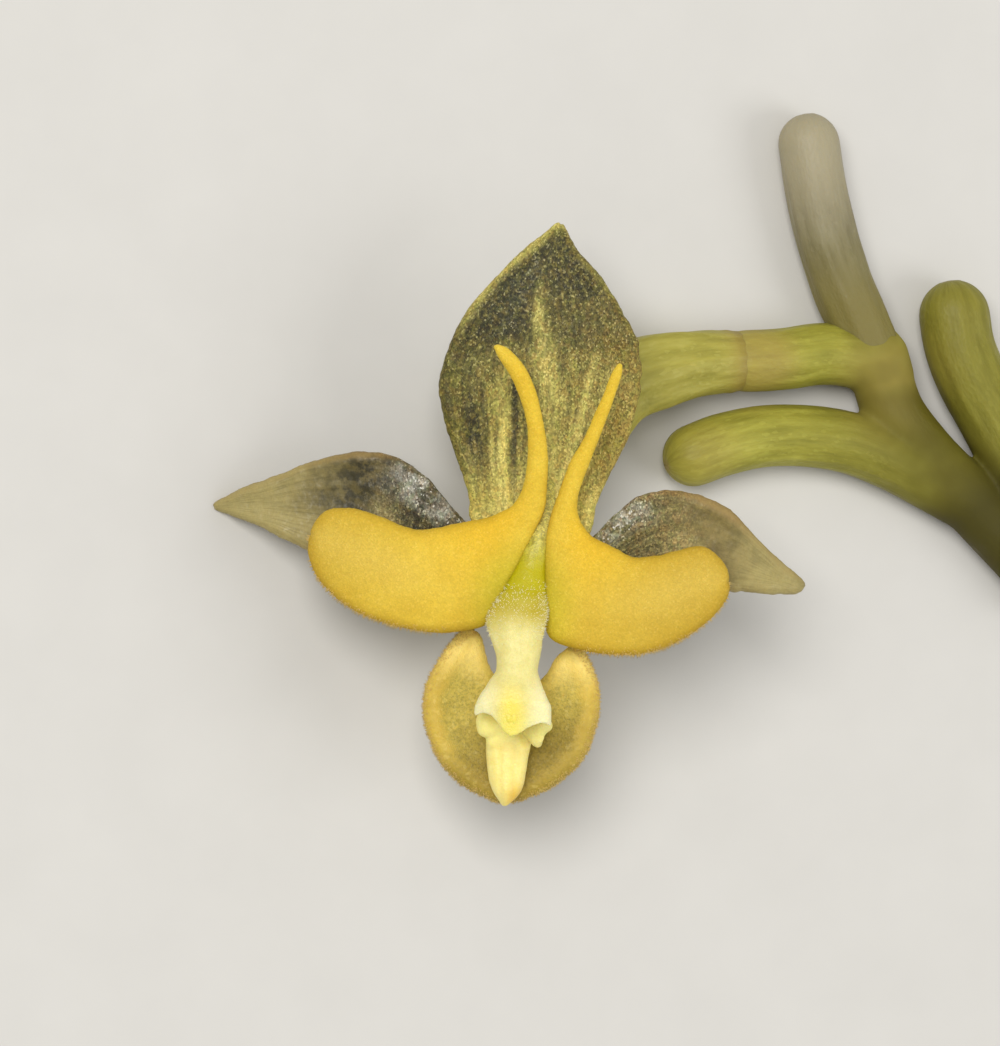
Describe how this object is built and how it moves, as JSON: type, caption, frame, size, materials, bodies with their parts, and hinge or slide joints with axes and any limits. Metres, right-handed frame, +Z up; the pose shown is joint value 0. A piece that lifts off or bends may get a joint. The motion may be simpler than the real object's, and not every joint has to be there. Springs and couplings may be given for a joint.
{
  "type": "lepanthes volador orchid flower",
  "caption": "Small golden orchid flower with slim upper and broad lower petal lobes, a two-horned lip and a cream column, lying face up on a cut length of its raceme.",
  "frame": {"origin": "middle of the footprint of the whole spray, on the surface that it lies on", "axes": "+Z up, the way the flower faces; +Y towards the dorsal sepal's tip; +X to the right, from the flower along the raceme"},
  "size_m": [0.016, 0.012, 0.0044],
  "materials": {
    "sepal": "thin, half-clear olive tissue with fine glittering grains",
    "petal": "velvety golden yellow tissue",
    "lip": "half-clear olive yellow tissue with a golden rim",
    "cream": "fleshy cream tissue",
    "anther": "smooth bright yellow tissue",
    "green_stem": "fleshy olive green stem",
    "dry_stem": "dry grey cream stem"
  },
  "bodies": {
    "root": {"dorsal_sepal": "sepal", "lateral_sepal_left": "sepal", "lateral_sepal_right": "sepal", "petal_left": "petal", "petal_right": "petal", "lip_blades": "lip", "lip_body": "cream", "column": "cream", "anther_cap": "anther", "ovary": "green_stem", "raceme": "green_stem", "spent_pedicel": "dry_stem"}
  },
  "joints": []
}
